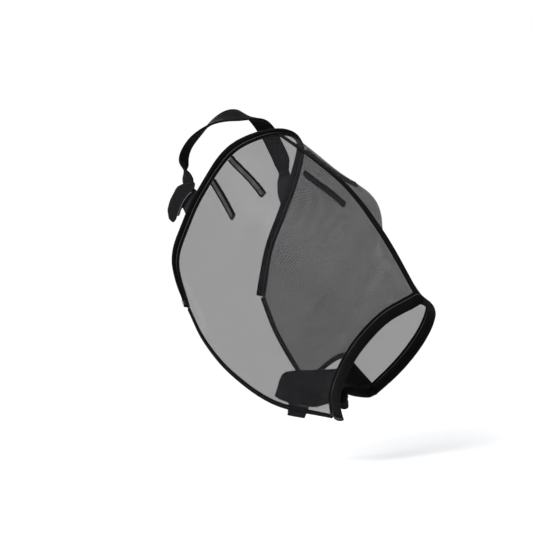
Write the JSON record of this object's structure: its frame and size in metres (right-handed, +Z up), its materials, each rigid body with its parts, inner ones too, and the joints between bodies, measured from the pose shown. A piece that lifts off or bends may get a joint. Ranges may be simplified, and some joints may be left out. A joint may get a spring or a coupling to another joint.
{
  "type": "horse fly mask",
  "caption": "Mesh fly mask for a horse: two see-through halves over the face and eyes, padded poll edge and noseband, strap behind the ears and a hook-and-loop flap under the chin.",
  "frame": {"origin": "middle of the poll edge, where the mask crosses the forehead in front of the ears", "axes": "+Z up and -Y the way the horse faces, in the worn attitude with the nose line sloping 48 degrees down; +X towards the horse's left side"},
  "size_m": [0.2164, 0.4789, 0.4866],
  "materials": {
    "mesh": "matt woven mesh",
    "binding": "soft satin binding",
    "padding": "matt foam",
    "strap": "brushed neoprene",
    "lining": "matt brushed",
    "hook_loop": "matt hook and loop pile"
  },
  "bodies": {
    "mask": {"mesh_panel_right": "mesh", "mesh_panel_left": "mesh", "centre_seam_tape": "binding", "dart_right_upper": "binding", "dart_right_lower": "binding", "dart_left_upper": "binding", "dart_left_lower": "binding", "poll_edge_binding": "binding", "poll_edge_padding": "padding", "jaw_binding_right": "binding", "jaw_binding_left": "binding", "noseband_cover": "binding", "noseband_padding": "padding", "chin_loop_strip": "hook_loop", "loop_tab": "strap", "loop_tab_patch": "hook_loop", "strap_root_tab": "strap"},
    "poll_strap": {"poll_strap": "strap", "poll_strap_lining": "lining"},
    "hook_flap": {"hook_flap": "strap", "hook_flap_patch": "hook_loop", "hook_flap_piping": "binding"},
    "chin_flap": {"chin_flap": "strap", "chin_hook_strip": "hook_loop", "chin_flap_edge_tape": "binding", "noseband_end_cover": "binding", "noseband_end_padding": "padding"},
    "pull_tab": {"pull_tab": "strap"}
  },
  "joints": [
    {"name": "poll_strap_swing", "type": "hinge", "parent": "mask", "child": "poll_strap", "pos_m": [0.0928, 0.11525, -0.05089], "axis": [0, 0.9999, 0.0169], "range_deg": [0, 75]},
    {"name": "hook_flap_peel", "type": "hinge", "parent": "poll_strap", "child": "hook_flap", "pos_m": [-0.0928, 0.11525, -0.05089], "axis": [0, 0.9999, 0.0169], "range_deg": [0, 110]},
    {"name": "chin_flap_open", "type": "hinge", "parent": "mask", "child": "chin_flap", "pos_m": [0.04827, -0.0611, -0.37279], "axis": [-0.2057, -0.8238, -0.5283], "range_deg": [0, 100]},
    {"name": "pull_tab_flex", "type": "hinge", "parent": "chin_flap", "child": "pull_tab", "pos_m": [-0.02418, 0.00682, -0.40149], "axis": [0.2945, -0.9172, -0.2684], "range_deg": [0, 60]}
  ]
}
